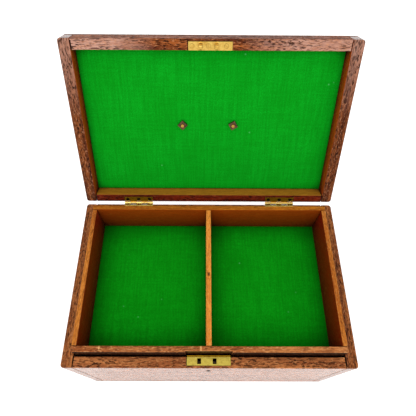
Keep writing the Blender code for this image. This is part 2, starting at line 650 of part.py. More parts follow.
def make_tray():
    low_z = TRAY_BAIZE_Z
    front_in = TRAY_FRONT_Y + TRAY_FRONT_WALL
    back_in = TRAY_BACK_Y - TRAY_BACK_WALL
    side_in = TRAY_X - TRAY_SIDE_WALL
    front_corners = ((-1, -1), (1, -1))
    floor = block("tray_floor", (-TRAY_X, TRAY_FRONT_Y, TRAY_FLOOR_Z), (TRAY_X, TRAY_BACK_Y, TRAY_FLOOR_Z + TRAY_FLOOR),
                  TRAY_WOOD, TRAY, corners=front_corners, radius=TRAY_CORNER_RADIUS)
    front = block("tray_wall_front", (-TRAY_X, TRAY_FRONT_Y, low_z), (TRAY_X, front_in, TRAY_TOP_Z), TRAY_WOOD,
                  TRAY, EDGE_SOFTENING, front_corners, TRAY_CORNER_RADIUS)
    recess = LOCK_WIDTH / 2 + RECESS_DEPTH
    hollow = block_cutter((LOCK_OFFSET - recess, TRAY_FRONT_Y - OVERCUT, TRAY_FLOOR_Z - OVERCUT),
                          (LOCK_OFFSET + recess, TRAY_FRONT_Y + RECESS_DEPTH, TRAY_TOP_Z + OVERCUT), TRAY)
    cut(front, hollow)
    cut(floor, hollow)
    block("tray_wall_back", (-TRAY_X, back_in, low_z), (TRAY_X, TRAY_BACK_Y, TRAY_TOP_Z), TRAY_WOOD, TRAY,
          EDGE_SOFTENING)
    divider = (DIVIDER_OFFSET - DIVIDER_THICKNESS / 2, DIVIDER_OFFSET + DIVIDER_THICKNESS / 2)
    block("tray_divider", (divider[0], front_in + FIT, low_z), (divider[1], back_in - FIT, TRAY_TOP_Z),
          TRAY_WOOD, TRAY, EDGE_SOFTENING)
    for side, sign, inner in (("left", -1, divider[0]), ("right", 1, divider[1])):
        xs = sorted((sign * TRAY_X, sign * side_in))
        block("tray_wall_" + side, (xs[0], front_in + FIT, low_z), (xs[1], back_in - FIT, TRAY_TOP_Z),
              TRAY_WOOD, TRAY, EDGE_SOFTENING)
        xs = sorted((inner + sign * FIT, sign * (side_in - FIT)))
        block("tray_baize_" + side, (xs[0], front_in + FIT, TRAY_BAIZE_Z),
              (xs[1], back_in - FIT, TRAY_BAIZE_Z + BAIZE_THICKNESS), BAIZE, TRAY)


# ---- Bail handle

def post_profile(bottom):
    """A flanged neck with a ball head round the bail's axis and a bolt shank below, top to bottom."""
    start = math.asin(POST_NECK_RADIUS / POST_HEAD_RADIUS)
    profile = []
    for step in range(POST_HEAD_STEPS + 1):
        angle = (math.pi - start) * step / POST_HEAD_STEPS
        profile.append((POST_HEAD_RADIUS * math.sin(angle), POST_HEAD_RADIUS * math.cos(angle)))
    seat = FIT - HANDLE_AXIS_HEIGHT
    profile += [(POST_NECK_RADIUS, seat + POST_FLANGE_HEIGHT), (POST_FLANGE_RADIUS, seat + POST_FLANGE_HEIGHT),
                (POST_FLANGE_RADIUS, seat), (POST_SHANK_RADIUS, seat), (POST_SHANK_RADIUS, bottom),
                (0.0, bottom)]
    return profile


def make_handle(panel, lining):
    axis_z = LID_TOP_Z + HANDLE_AXIS_HEIGHT
    nut_top = LID_BAIZE_Z - FIT
    bottom = nut_top - NUT_THICKNESS - THREAD_STANDOUT
    for side, sign, turn in (("left", -1, NUT_TURNS[0]), ("right", 1, NUT_TURNS[1])):
        x = HANDLE_OFFSET + sign * HANDLE_SPACING / 2
        mesh = turned_mesh("handle_post", post_profile(bottom - axis_z))
        post = smooth(add_piece("handle_post_" + side, mesh, BRASS, LID, (x, 0.0, axis_z)))
        bore = rod_mesh("cross_bore", BAIL_RADIUS + RUNNING, 3 * POST_HEAD_RADIUS, "X")
        cut(post, add_cutter(bore, LID, (x, 0.0, axis_z)))
        nut_mesh = block_mesh("handle_nut", (NUT_WIDTH, NUT_WIDTH, NUT_THICKNESS))
        middle = (x, 0.0, nut_top - NUT_THICKNESS / 2)
        nut = add_piece("handle_nut_" + side, nut_mesh, AGED_BRASS, LID, middle, Matrix.Rotation(turn, 4, "Z"))
        clearance = rod_mesh("bolt_hole", POST_SHANK_RADIUS + FIT, LID_TOP_Z - bottom + 2 * OVERCUT)
        hole = add_cutter(clearance, LID, (x, 0.0, (LID_TOP_Z + bottom) / 2))
        for piece in (panel, lining, nut):
            cut(piece, hole)


def rounded_path(corners, bends):
    """Points along straight runs between corners, each corner rounded by its bend radius."""
    points = [Vector(corners[0])]
    for before, corner, after, bend in zip(corners, corners[1:], corners[2:], bends):
        corner = Vector(corner)
        back = (Vector(before) - corner).normalized()
        on = (Vector(after) - corner).normalized()
        middle = corner + (back + on) * bend
        for step in range(BAIL_BEND_STEPS + 1):
            angle = math.pi / 2 * step / BAIL_BEND_STEPS
            points.append(middle - bend * (on * math.cos(angle) + back * math.sin(angle)))
    points.append(Vector(corners[-1]))
    return points


def make_bail():
    """A bent brass rod, stored hanging straight down from the two posts."""
    pin = HANDLE_SPACING / 2 - BAIL_PIN_REACH
    arm = HANDLE_SPACING / 2 + BAIL_OVERHANG
    corners = ((-pin, 0, 0), (-arm, 0, 0), (-arm, 0, -BAIL_REACH), (arm, 0, -BAIL_REACH), (arm, 0, 0),
               (pin, 0, 0))
    bends = (BAIL_TOP_BEND, BAIL_GRIP_BEND, BAIL_GRIP_BEND, BAIL_TOP_BEND)
    points = rounded_path(corners, bends)
    curve = bpy.data.curves.new("handle_bail", "CURVE")
    curve.dimensions = "3D"
    curve.bevel_depth = BAIL_RADIUS
    curve.bevel_resolution = BAIL_ROUND_STEPS
    curve.use_fill_caps = True
    spline = curve.splines.new("POLY")
    spline.points.add(len(points) - 1)
    for slot, point in zip(spline.points, points):
        slot.co = (*point, 1.0)
    add_piece("handle_bail", curve, BRASS, HANDLE, HANDLE.origin)


def main():
    front_board, back_board = make_carcass()
    make_bearers()
    front_rail, back_rail, panel, lining = make_lid()
    for side, sign in (("left", -1), ("right", 1)):
        make_hinge(side, sign, back_board, back_rail)
    make_strike(front_rail)
    make_lock(front_board)
    make_tray()
    make_handle(panel, lining)
    make_bail()


main()
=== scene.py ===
"""The looks of the mahogany box: its woods, baize linings and brass, on a white studio floor."""
import json
import math

import bmesh
import bpy
import numpy as np
from mathutils import Matrix, Vector, noise


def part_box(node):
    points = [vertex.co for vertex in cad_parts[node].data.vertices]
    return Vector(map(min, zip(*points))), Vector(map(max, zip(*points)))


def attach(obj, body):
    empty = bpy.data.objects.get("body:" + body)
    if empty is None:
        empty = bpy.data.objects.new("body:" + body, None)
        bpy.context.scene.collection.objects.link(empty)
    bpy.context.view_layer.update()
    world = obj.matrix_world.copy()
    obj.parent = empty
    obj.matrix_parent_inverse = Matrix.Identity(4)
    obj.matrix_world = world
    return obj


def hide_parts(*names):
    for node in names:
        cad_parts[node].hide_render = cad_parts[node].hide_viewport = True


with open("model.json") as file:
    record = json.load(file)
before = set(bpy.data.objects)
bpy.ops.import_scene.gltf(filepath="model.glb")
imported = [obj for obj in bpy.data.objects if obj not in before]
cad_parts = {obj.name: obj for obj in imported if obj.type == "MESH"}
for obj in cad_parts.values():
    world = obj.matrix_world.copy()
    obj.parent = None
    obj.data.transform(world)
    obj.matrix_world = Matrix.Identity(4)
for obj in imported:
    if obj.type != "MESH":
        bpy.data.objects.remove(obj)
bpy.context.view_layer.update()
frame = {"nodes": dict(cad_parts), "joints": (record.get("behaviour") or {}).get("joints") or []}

JOINTS = {joint["name"]: joint for joint in frame["joints"]}
NODES = frame["nodes"]
OPEN_ANGLE = -math.radians(JOINTS["lid_hinge"]["range_deg"][0])
HINGE = Vector(JOINTS["lid_hinge"]["pos_m"])
TO_SHUT = Matrix.Translation(HINGE) @ Matrix.Rotation(OPEN_ANGLE, 4, "X") @ Matrix.Translation(-HINGE)
TO_OPEN = TO_SHUT.inverted()

CARCASS_LOW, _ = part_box("bottom_board")
_, CARCASS_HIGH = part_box("side_board_right")
BASE_Z = CARCASS_LOW.z
RIM_Z = CARCASS_HIGH.z


def shut_box(node):
    """A lid node's lowest and highest corners with the lid shut."""
    points = np.array([TO_SHUT @ vertex.co for vertex in NODES[node].data.vertices])
    return Vector(points.min(0)), Vector(points.max(0))


# ---- Camera and light

CAMERA_OFFSET = Vector((-0.0077, -0.1426, 0.4280))  # from the middle of the carcass's rim
CAMERA_PITCH = 61.190
CAMERA_YAW = 0.438
CAMERA_ROLL = 0.656
CAMERA_LENS = 33.800
CAMERA_SHIFT = (0.0090, -0.0040)
SENSOR_WIDTH = 36.0
NEAREST_SEEN = 0.01
KEY_PLACE = (-0.35, -0.75, 1.35)
KEY_AIM = (0.0, 0.0, 0.15)
KEY_SIZE = 0.9
KEY_POWER = 5.0
WORLD_STRENGTH = 1.0
FLOOR_GLOW = 0.42
FLOOR_GREY = (0.93, 0.93, 0.93, 1.0)
FLOOR_REACH = 3.0
FLOOR_SQUARES = 8
FLOOR_DROP = 0.0002     # below the box's underside
WHITE = (1.0, 1.0, 1.0, 1.0)


def make_camera():
    data = bpy.data.cameras.new("camera")
    data.lens = CAMERA_LENS
    data.sensor_width = SENSOR_WIDTH
    data.clip_start = NEAREST_SEEN
    data.shift_x, data.shift_y = CAMERA_SHIFT
    camera = bpy.data.objects.new("camera", data)
    bpy.context.scene.collection.objects.link(camera)
    pitch, yaw, roll = (math.radians(a) for a in (CAMERA_PITCH, CAMERA_YAW, CAMERA_ROLL))
    turn = (Matrix.Rotation(-yaw, 4, "Z") @ Matrix.Rotation(math.pi / 2 - pitch, 4, "X")
            @ Matrix.Rotation(roll, 4, "Z"))
    camera.matrix_world = Matrix.Translation(Vector((0.0, 0.0, RIM_Z)) + CAMERA_OFFSET) @ turn
    bpy.context.scene.camera = camera


def make_world():
    world = bpy.data.worlds.new("studio")
    bpy.context.scene.world = world
    world.use_nodes = True
    background = world.node_tree.nodes["Background"]
    background.inputs["Color"].default_value = WHITE
    background.inputs["Strength"].default_value = WORLD_STRENGTH
    bpy.context.scene.view_settings.view_transform = "Standard"


def make_light(name, place, aim, size, power):
    data = bpy.data.lights.new(name, "AREA")
    data.shape = "DISK"
    data.size = size
    data.energy = power
    light = bpy.data.objects.new(name, data)
    bpy.context.scene.collection.objects.link(light)
    light.location = place
    light.rotation_mode = "QUATERNION"
    light.rotation_quaternion = (Vector(aim) - Vector(place)).to_track_quat("-Z", "Y")


def make_floor():
    bm = bmesh.new()
    bmesh.ops.create_grid(bm, x_segments=FLOOR_SQUARES, y_segments=FLOOR_SQUARES, size=FLOOR_REACH)
    floor = add_mesh("studio_floor", bm)
    floor.location.z = BASE_Z - FLOOR_DROP
    shader = Shader("studio_floor")
    shader.set("Base Color", FLOOR_GREY)
    shader.set("Roughness", 0.9)
    shader.set("Specular IOR Level", 0.1)
    shader.set("Emission Color", WHITE)
    shader.set("Emission Strength", FLOOR_GLOW)
    floor.data.materials.append(shader.material)


# ---- Building helpers

def add_mesh(name, bm):
    mesh = bpy.data.meshes.new(name)
    bmesh.ops.recalc_face_normals(bm, faces=bm.faces)
    bm.to_mesh(mesh)
    bm.free()
    obj = bpy.data.objects.new(name, mesh)
    bpy.context.scene.collection.objects.link(obj)
    return obj


class Shader:
    """A material whose node tree is written as short calls."""

    def __init__(self, name):
        self.material = bpy.data.materials.new(name)
        self.material.use_nodes = True
        self.tree = self.material.node_tree
        self.bsdf = self.tree.nodes["Principled BSDF"]

    def set(self, socket, value):
        self.bsdf.inputs[socket].default_value = value

    def plug(self, socket, source):
        self.tree.links.new(source, self.bsdf.inputs[socket])

    def node(self, kind, inputs=(), output=0, **settings):
        """Adds a node, fills or links its inputs, and returns one output."""
        node = self.tree.nodes.new(kind)
        for key, value in settings.items():
            setattr(node, key, value)
        for key, value in dict(inputs).items():
            if isinstance(value, bpy.types.NodeSocket):
                self.tree.links.new(value, node.inputs[key])
            else:
                node.inputs[key].default_value = value
        return node.outputs[output]

    def place(self, turn=(0.0, 0.0, 0.0), scale=(1.0, 1.0, 1.0), shift=(0.0, 0.0, 0.0), source=None):
        if source is None:
            source = self.node("ShaderNodeTexCoord", output="Object")
        return self.node("ShaderNodeMapping", {"Vector": source, "Rotation": turn, "Scale": scale,
                                               "Location": shift})

    def noise(self, vector, scale, detail=4.0, roughness=0.55, output="Fac"):
        return self.node("ShaderNodeTexNoise", {"Vector": vector, "Scale": scale, "Detail": detail,
                                                "Roughness": roughness}, output=output)

    def ramp(self, value, low, high, to_low=0.0, to_high=1.0):
        """Maps low..high to to_low..to_high, held at both ends."""
        return self.node("ShaderNodeMapRange", {"Value": value, "From Min": low, "From Max": high,
                                                "To Min": to_low, "To Max": to_high})

    def mix(self, share, first, second):
        """Mixes two colours."""
        node = self.tree.nodes.new("ShaderNodeMix")
        node.data_type = "RGBA"
        sockets = (node.inputs["Factor"], node.inputs[6], node.inputs[7])
        for socket, value in zip(sockets, (share, first, second)):
            if isinstance(value, bpy.types.NodeSocket):
                self.tree.links.new(value, socket)
            elif socket.type == "RGBA":
                socket.default_value = (*value[:3], 1.0)
            else:
                socket.default_value = value
        return node.outputs[2]

    def maths(self, operation, first, second=0.0):
        return self.node("ShaderNodeMath", {0: first, 1: second}, operation=operation)

    def edge(self, radius):
        """How close the surface is to an edge: 0 on flats, towards 1 on edges."""
        rounded = self.node("ShaderNodeBevel", {"Radius": radius}, samples=6)
        true = self.node("ShaderNodeNewGeometry", output="Normal")
        dot = self.dot(rounded, true)
        return self.ramp(dot, 1.0, 0.75)

    def crevice(self, reach, still_open=0.62, closed=0.25):
        """How closed in the surface is: 0 in the open, towards 1 deep in a corner."""
        open_sky = self.node("ShaderNodeAmbientOcclusion", {"Distance": reach}, output="AO", samples=8)
        return self.ramp(open_sky, still_open, closed)

    def dot(self, first, second):
        return self.node("ShaderNodeVectorMath", {0: first, 1: second}, output="Value",
                         operation="DOT_PRODUCT")

    def part(self, vector, axis):
        """One coordinate of a place: 0, 1 or 2 for x, y or z."""
        return self.node("ShaderNodeSeparateXYZ", {0: vector}, output=axis)

    def shut_place(self, on_lid):
        """The place in the frame of the shut box, in metres."""
        if not on_lid:
            return self.place()
        return self.place(turn=(OPEN_ANGLE, 0.0, 0.0), shift=TO_SHUT.to_translation())

    def bump(self, height, distance, strength=1.0):
        return self.node("ShaderNodeBump", {"Height": height, "Distance": distance, "Strength": strength})


def linear(red_well_shade, green, blue):
    """A linear colour from the 0-255 values of a paint chip."""
    def channel(value):
        value = value / 255.0
        return value / 12.92 if value <= 0.04045 else ((value + 0.055) / 1.055) ** 2.4
    return (channel(red_well_shade), channel(green), channel(blue))


# ---- Woods

ACROSS = math.pi / 2
FRONTWARD, BACKWARD = (0.0, -1.0, 0.0), (0.0, 1.0, 0.0)
LEFTWARD, RIGHTWARD = (-1.0, 0.0, 0.0), (1.0, 0.0, 0.0)
UPWARD, DOWNWARD = (0.0, 0.0, 1.0), (0.0, 0.0, -1.0)
OUTWARD = {"left": LEFTWARD, "right": RIGHTWARD}
INWARD = {"left": RIGHTWARD, "right": LEFTWARD}
POLISH = 0.9            # the box's outside, rubbed to a gloss
POLISH_ROUGHNESS = 0.22
WOOD_SPECULAR = 0.06
PORE_ROUGHNESS = 0.35   # how much rougher the pores are
PORE_RELIEF = 0.00025
FINENESS = 1.3          # how fine the grain is, all through
GRAIN_WAVE = (16.0, 45.0, 45.0)
GRAIN_BEND = 0.007
FIGURE = (7.0, 120.0, 120.0)
FIBRE = (60.0, 520.0, 520.0)
PORES = (150.0, 640.0, 640.0)
FLECKS = (230.0, 600.0, 600.0)
BLOTCHES = (24.0, 70.0, 70.0)
WEAR_SCALE = 260.0
WEAR_RADIUS = 0.0010
SHADE_PATCH_SCALE = 90.0
SHADE_REACH = 0.012
WELL_REACH = 0.030
TINT_COVER = 0.75       # how much of the pores and flecks a tint hides
HIDDEN_SEED = 60.0


class Wood:
    """The colours of one board: its ground, its darker figure, its pores and its pale flecks."""

    def __init__(self, light, dark, pore, fleck, pores=1.0, flecks=1.0):
        self.light, self.dark, self.pore, self.fleck = (linear(*c) for c in (light, dark, pore, fleck))
        self.pores, self.flecks = pores, flecks


RIM = Wood((186, 113, 58), (115, 58, 29), (32, 12, 7), (204, 140, 90), flecks=0.8)
FRONT_RIM = Wood((198, 122, 68), (136, 71, 36), (40, 16, 8), (216, 150, 94), flecks=0.8)
LID_SIDE = Wood((144, 79, 38), (80, 34, 13), (28, 10, 6), (192, 132, 96), flecks=0.8)
LID_FRONT = Wood((164, 88, 38), (90, 38, 16), (34, 12, 7), (206, 140, 96), flecks=0.8)
RED = Wood((134, 42, 15), (80, 18, 8), (36, 8, 4), (150, 84, 54), flecks=0.5)
TRAY = Wood((240, 156, 64), (206, 120, 42), (124, 62, 24), (250, 192, 112), 0.5, 0.5)
TRAY_EDGE = Wood((208, 130, 50), (166, 90, 28), (96, 46, 18), (230, 164, 90), 0.7, 0.5)
TRAY_BACK = Wood((188, 112, 24), (148, 78, 14), (92, 44, 14), (214, 150, 62), 0.6, 0.4)
TRAY_LIP = Wood((192, 122, 66), (144, 76, 36), (76, 34, 16), (226, 168, 112), 0.8, 0.7)
TRAY_SIDE = (130, 26, 3)
TRAY_END = (164, 66, 8)
LID_INNER = (182, 116, 34)
LID_INNER_SIDE = (186, 72, 14)
# painted sheen on the lid's rims
PINK_SHEEN = (214, 168, 150)
CHIP = (246, 186, 116)
# painted shade colour: for corners and creases, and for the tray's outer sides
SHADE_BROWN = (30, 12, 6)
BLACK = (9, 5, 4)
# painted shade colours, deep in the tray and inside the lid
WELL_SHADE_RED = (44, 5, 2)
WELL_SHADE_BROWN = (60, 20, 5)


def wood(name, kind, seed, along_y=False, on_lid=False, rough=0.42, polished=(), faces=(), marks=(),
         veils=(), well=None, pore_depth=1.0):
    """Open-pored wood drawn out along its grain.

    polished: the directions of its glossy sides
    faces: (direction, colour) for each side of another shade
    marks: dark spots and lines, each a function that gives its share at a place
    veils: (spot, colour) for each patch of another shade, such as chips and painted sheen
    well: (deep z, brim z, colour) that the tinted sides darken to from brim to deep as painted shade, in the
    shut box's frame
    """
    s = Shader(name)
    tilt = OPEN_ANGLE if on_lid else 0.0
    upright = s.shut_place(on_lid)
    turn = (0.0, 0.0, -ACROSS if along_y else 0.0)
    shift = (seed, seed * 0.7, seed * 1.3)
    flat = s.place(turn=turn, scale=(FINENESS, FINENESS, FINENESS), shift=shift, source=upright)
    wave = s.noise(s.place(scale=GRAIN_WAVE, source=flat), 1.0, 2.0, output="Color")
    bend = s.node("ShaderNodeVectorMath", {0: wave, "Scale": GRAIN_BEND}, operation="SCALE")
    bent = s.node("ShaderNodeVectorMath", {0: flat, 1: bend}, operation="ADD")
    figure = s.noise(s.place(scale=FIGURE, source=bent), 1.0, 3.0)
    fibre = s.noise(s.place(scale=FIBRE, source=bent), 1.0, 3.0, 0.65)
    pore = s.noise(s.place(scale=PORES, source=bent), 1.0, 2.0, 0.6)
    fleck = s.noise(s.place(scale=FLECKS, shift=(3.0, 5.0, 7.0), source=bent), 1.0, 2.0, 0.6)
    blotch = s.noise(s.place(scale=BLOTCHES, source=flat), 1.0, 3.0)
    colour = s.mix(s.ramp(figure, 0.38, 0.64), kind.light, kind.dark)
    colour = s.mix(s.ramp(fibre, 0.42, 0.62, 0.0, 0.6), colour, kind.dark)
    for spot, veil in veils:
        grained = s.mix(s.ramp(fibre, 0.4, 0.62, 0.0, 0.5), linear(*veil), kind.light)
        colour = s.mix(spot(s, upright), colour, grained)
    plain = 1.0
    for direction, shade in faces:
        share = facing(s, tilt, direction)
        colour = s.mix(share, colour, face_tint(s, fibre, upright, shade, well))
        plain = s.maths("SUBTRACT", plain, s.maths("MULTIPLY", share, TINT_COVER))
    openness = s.ramp(blotch, 0.3, 0.6, 0.35 * kind.pores, kind.pores)
    pore_share = s.maths("MULTIPLY", s.ramp(pore, 0.52, 0.575), openness)
    fleck_share = s.maths("MULTIPLY", s.ramp(fleck, 0.56, 0.63), 0.6 * kind.flecks)
    pore_share = s.maths("MULTIPLY", pore_share, plain)
    colour = s.mix(s.maths("MULTIPLY", fleck_share, plain), colour, kind.fleck)
    colour = s.mix(s.maths("MULTIPLY", pore_share, 0.9), colour, kind.pore)
    worn = s.maths("MULTIPLY", s.edge(WEAR_RADIUS), s.ramp(s.noise(flat, WEAR_SCALE, 3.0), 0.44, 0.6))
    colour = s.mix(s.maths("MULTIPLY", s.maths("MULTIPLY", worn, 0.6), plain), colour, kind.fleck)
    # painted shade: the wood goes patchily darker brown in corners and creases
    patchy = s.ramp(s.noise(flat, SHADE_PATCH_SCALE, 3.0), 0.3, 0.7, 0.6, 1.0)
    crevice_shade = s.maths("MULTIPLY", s.crevice(SHADE_REACH), patchy)
    colour = s.mix(crevice_shade, colour, linear(*SHADE_BROWN))
    unmarked = 1.0
    for mark in marks:
        share = mark(s, upright)
        colour = s.mix(share, colour, linear(*BLACK))
        unmarked = s.maths("MULTIPLY", unmarked, s.maths("SUBTRACT", 1.0, share))
    s.plug("Base Color", colour)
    s.plug("Roughness", s.ramp(pore_share, 0.0, 1.0, rough, min(1.0, rough + PORE_ROUGHNESS)))
    height = s.maths("SUBTRACT", s.maths("MULTIPLY", fibre, 0.3), pore_share)
    relief = s.bump(height, PORE_RELIEF * pore_depth, 0.7)
    s.plug("Normal", relief)
    s.set("Specular IOR Level", WOOD_SPECULAR)
    if polished:
        gloss = 0.0
        for direction in polished:
            gloss = s.maths("ADD", gloss, s.maths("MULTIPLY", facing(s, tilt, direction), POLISH))
        s.plug("Coat Weight", s.maths("MULTIPLY", gloss, unmarked))
        s.plug("Coat Normal", relief)
        s.set("Coat Roughness", POLISH_ROUGHNESS)
    return s.material


def face_tint(s, fibre, place, shade, well):
    """The colour of a side of another shade, darkened by painted shade deep down and in its corners if it
    has a well.
    """
    darker = linear(*(0.72 * c for c in shade))
    tint = s.mix(s.ramp(fibre, 0.35, 0.65, 0.0, 0.5), linear(*shade), darker)
    if well:
        deep_z, brim_z, dark = well
        tint = s.mix(s.ramp(s.part(place, 2), brim_z, deep_z, 0.0, 0.75), tint, linear(*dark))
        tint = s.mix(s.crevice(WELL_REACH, 0.50, 0.20), tint, linear(*dark))
    return tint


def facing(s, tilt, direction):
    """1 where the surface faces direction, given in the shut box's frame."""
    normal = s.node("ShaderNodeTexCoord", output="Normal")
    turned = s.node("ShaderNodeMapping", {"Vector": normal, "Rotation": (tilt, 0.0, 0.0)},
                    vector_type="NORMAL")
    return s.ramp(s.dot(turned, direction), 0.6, 0.85)


def scribe(low, high, strength=0.8, soft=0.00025):
    """A dark hairline or spot filling the box from low to high, with a soft border."""
    middle = (Vector(low) + Vector(high)) / 2
    half = (Vector(high) - Vector(low)) / 2
    border = Vector([min(soft, 0.6 * reach) for reach in half])

    def mark(s, place):
        apart = s.node("ShaderNodeVectorMath", {0: place, 1: middle}, operation="SUBTRACT")
        apart = s.node("ShaderNodeVectorMath", {0: apart}, operation="ABSOLUTE")
        inside = s.node("ShaderNodeVectorMath", {0: half, 1: apart}, operation="SUBTRACT")
        inside = s.node("ShaderNodeVectorMath", {0: inside, 1: border}, operation="DIVIDE")
        x, y, z = (s.part(inside, axis) for axis in range(3))
        nearest = s.maths("MINIMUM", s.maths("MINIMUM", x, y), z)
        return s.ramp(nearest, 0.0, 1.0, 0.0, strength)

    return mark


def fade(axis, start, end, strength):
    """A painted sheen on the lid's rim that grows from nothing at start to its strength at end along one
    axis.
    """
    def veil(s, place):
        return s.maths("MULTIPLY", s.ramp(s.part(place, axis), start, end, 0.0, strength),
                       facing(s, OPEN_ANGLE, DOWNWARD))

    return veil


def dress(nodes, material):
    """Gives CAD nodes a new material in place of the plain one."""
    for name in nodes:
        mesh = NODES[name].data
        mesh.materials.clear()
        mesh.materials.append(material)


CREASE_ANGLE = math.radians(38.0)


def smooth_round(nodes):
    for name in nodes:
        mesh = NODES[name].data
        mesh.shade_smooth()
        mesh.set_sharp_from_angle(angle=CREASE_ANGLE)


MARK_DEPTH = 0.003      # how far down a mark on a top face reaches
PROUD = 0.001           # how far a mark's box stands out of the wood
LINE = 0.0007           # the width of a dark joint line
SEAM_FROM_BACK = (0.0149, 0.0142)
PATCH_LINE = (0.0040, 0.0046)
PATCH_EDGE = 0.0052
PATCH_LINE_HALF = 0.0003
# painted shade inside the keyhole's bore
KEYHOLE_SHADE = (0.004, 0.030, 0.016)    # half its width, and its foot and top below the rim
KEYHOLE_GRIME = (0.0034, 0.031, 0.015)


def dress_carcass():
    low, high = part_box("side_board_right")
    left_low, left_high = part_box("side_board_left")
    front_low, front_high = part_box("front_board")
    top, above = RIM_Z - MARK_DEPTH, RIM_Z + PROUD
    joint_y = front_high.y
    patch = [scribe((low.x + PATCH_LINE[0], low.y, top), (low.x + PATCH_LINE[1], joint_y, above), 0.6),
             scribe((low.x + PATCH_EDGE, joint_y - PATCH_LINE_HALF, top),
                    (high.x, joint_y + PATCH_LINE_HALF, above)),
             scribe((low.x - PROUD, low.y + 0.003, top), (low.x + LINE, joint_y, above))]
    seam = [scribe((left_low.x, left_high.y - SEAM_FROM_BACK[0], top),
                   (left_high.x, left_high.y - SEAM_FROM_BACK[1], above)),
            scribe((left_high.x - LINE, left_low.y + 0.004, top), (left_high.x + PROUD, joint_y, above))]
    dress(["side_board_left"], wood("side_left_wood", RIM, 1.0, along_y=True, marks=seam,
                                    polished=(FRONTWARD, BACKWARD, LEFTWARD)))
    dress(["side_board_right"], wood("side_right_wood", RIM, 2.0, along_y=True, marks=patch,
                                     polished=(FRONTWARD, BACKWARD, RIGHTWARD)))
    dress(["front_board"], wood("front_wood", FRONT_RIM, 3.0, polished=(FRONTWARD,), pore_depth=2.0,
                                marks=front_marks(front_low, front_high, top, above)))
    dress(["back_board"], wood("back_wood", RIM, 4.0, polished=(BACKWARD,)))
    dress(["bottom_board"], wood("bottom_wood", RIM, HIDDEN_SEED))
    bearers = wood("bearer_wood", RIM, HIDDEN_SEED + 1.0, along_y=True)
    dress(["tray_bearer_left", "tray_bearer_right"], bearers)


def front_marks(low, high, top, above):
    """The dark joints at the front board's ends and beside the lock, the keyhole's bore painted dark as
    shade, and its grime.
    """
    lock_low, lock_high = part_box("lock_selvage")
    keyhole = (lock_low.x + lock_high.x) / 2
    half, foot, head = KEYHOLE_SHADE
    wide, grime_foot, grime_head = KEYHOLE_GRIME
    return [scribe((low.x - PROUD, low.y + 0.003, top), (low.x + LINE, high.y + PROUD, above)),
            scribe((high.x - LINE, low.y + 0.004, top), (high.x + PROUD, high.y, above)),
            scribe((lock_low.x - 0.0010, lock_low.y, top), (lock_low.x + LINE, high.y + PROUD, above)),
            scribe((keyhole - half, low.y + 0.0002, RIM_Z - foot),
                   (keyhole + half, high.y + PROUD, RIM_Z - head), 1.0),
            scribe((keyhole - wide, low.y - PROUD, RIM_Z - grime_foot),
                   (keyhole + wide, low.y + PROUD, RIM_Z - grime_head), 0.75, 0.0020)]


def dress_lid():
    low, high = shut_box("lid_rail_front")
    back_low, back_high = shut_box("lid_rail_back")
    plate_low, plate_high = shut_box("strike_plate")
    below, into = low.z - PROUD, low.z + MARK_DEPTH
    ends = [scribe((low.x - PROUD, low.y + 0.002, below), (low.x + 0.0012, high.y, into), 1.0),
            scribe((high.x - LINE, low.y + 0.002, below), (high.x + PROUD, high.y, into), 0.7),
            scribe((plate_low.x - 0.0011, plate_low.y - 0.0010, below), (plate_high.x, high.y, into), 0.8)]
    # the ends of the front rail's rim get a painted pinkish sheen
    painted_sheens = [(fade(0, -0.055, -0.100, 0.75), PINK_SHEEN), (fade(0, 0.030, 0.080, 0.65), PINK_SHEEN)]
    dress(["lid_rail_front"], wood("lid_front_wood", LID_FRONT, 7.0, on_lid=True, marks=ends,
                                   veils=painted_sheens, polished=(BACKWARD,)))
    corners = [scribe((back_low.x - PROUD, back_low.y, below), (back_low.x + 0.0010, back_high.y, into)),
               scribe((back_high.x - 0.0010, back_low.y, below), (back_high.x + PROUD, back_high.y, into))]
    dress(["lid_rail_back"], wood("lid_back_wood", RED, 8.0, on_lid=True, polished=(BACKWARD,),
                                  marks=corners, faces=[(FRONTWARD, LID_INNER)]))
    # the side rails' rims get a painted sheen that grows towards the front
    for side, seed in (("left", 11.0), ("right", 9.0)):
        dress(["lid_rail_" + side], wood(f"lid_{side}_wood", LID_SIDE, seed, along_y=True, on_lid=True,
                                         polished=(FRONTWARD, BACKWARD, OUTWARD[side]),
                                         veils=[(fade(1, -0.015, -0.090, 0.45), PINK_SHEEN)],
                                         faces=[(INWARD[side], LID_INNER_SIDE)],
                                         # painted shade: the inner sides darken towards the lid panel
                                         well=(high.z, low.z, WELL_SHADE_RED)))
    dress(["lid_panel"], wood("lid_panel_wood", LID_SIDE, 14.0, on_lid=True, polished=(UPWARD,), rough=0.35))


KNOT_HALF_WIDTH = 0.0019
KNOT_ALONG = (-0.0032, 0.0018)
KNOT_SOFTNESS = 0.0012
CHIP_PLACES = (-0.1115, -0.0089)
CHIP_HALF_WIDTH = 0.0011
CHIP_SOFTNESS = 0.0006


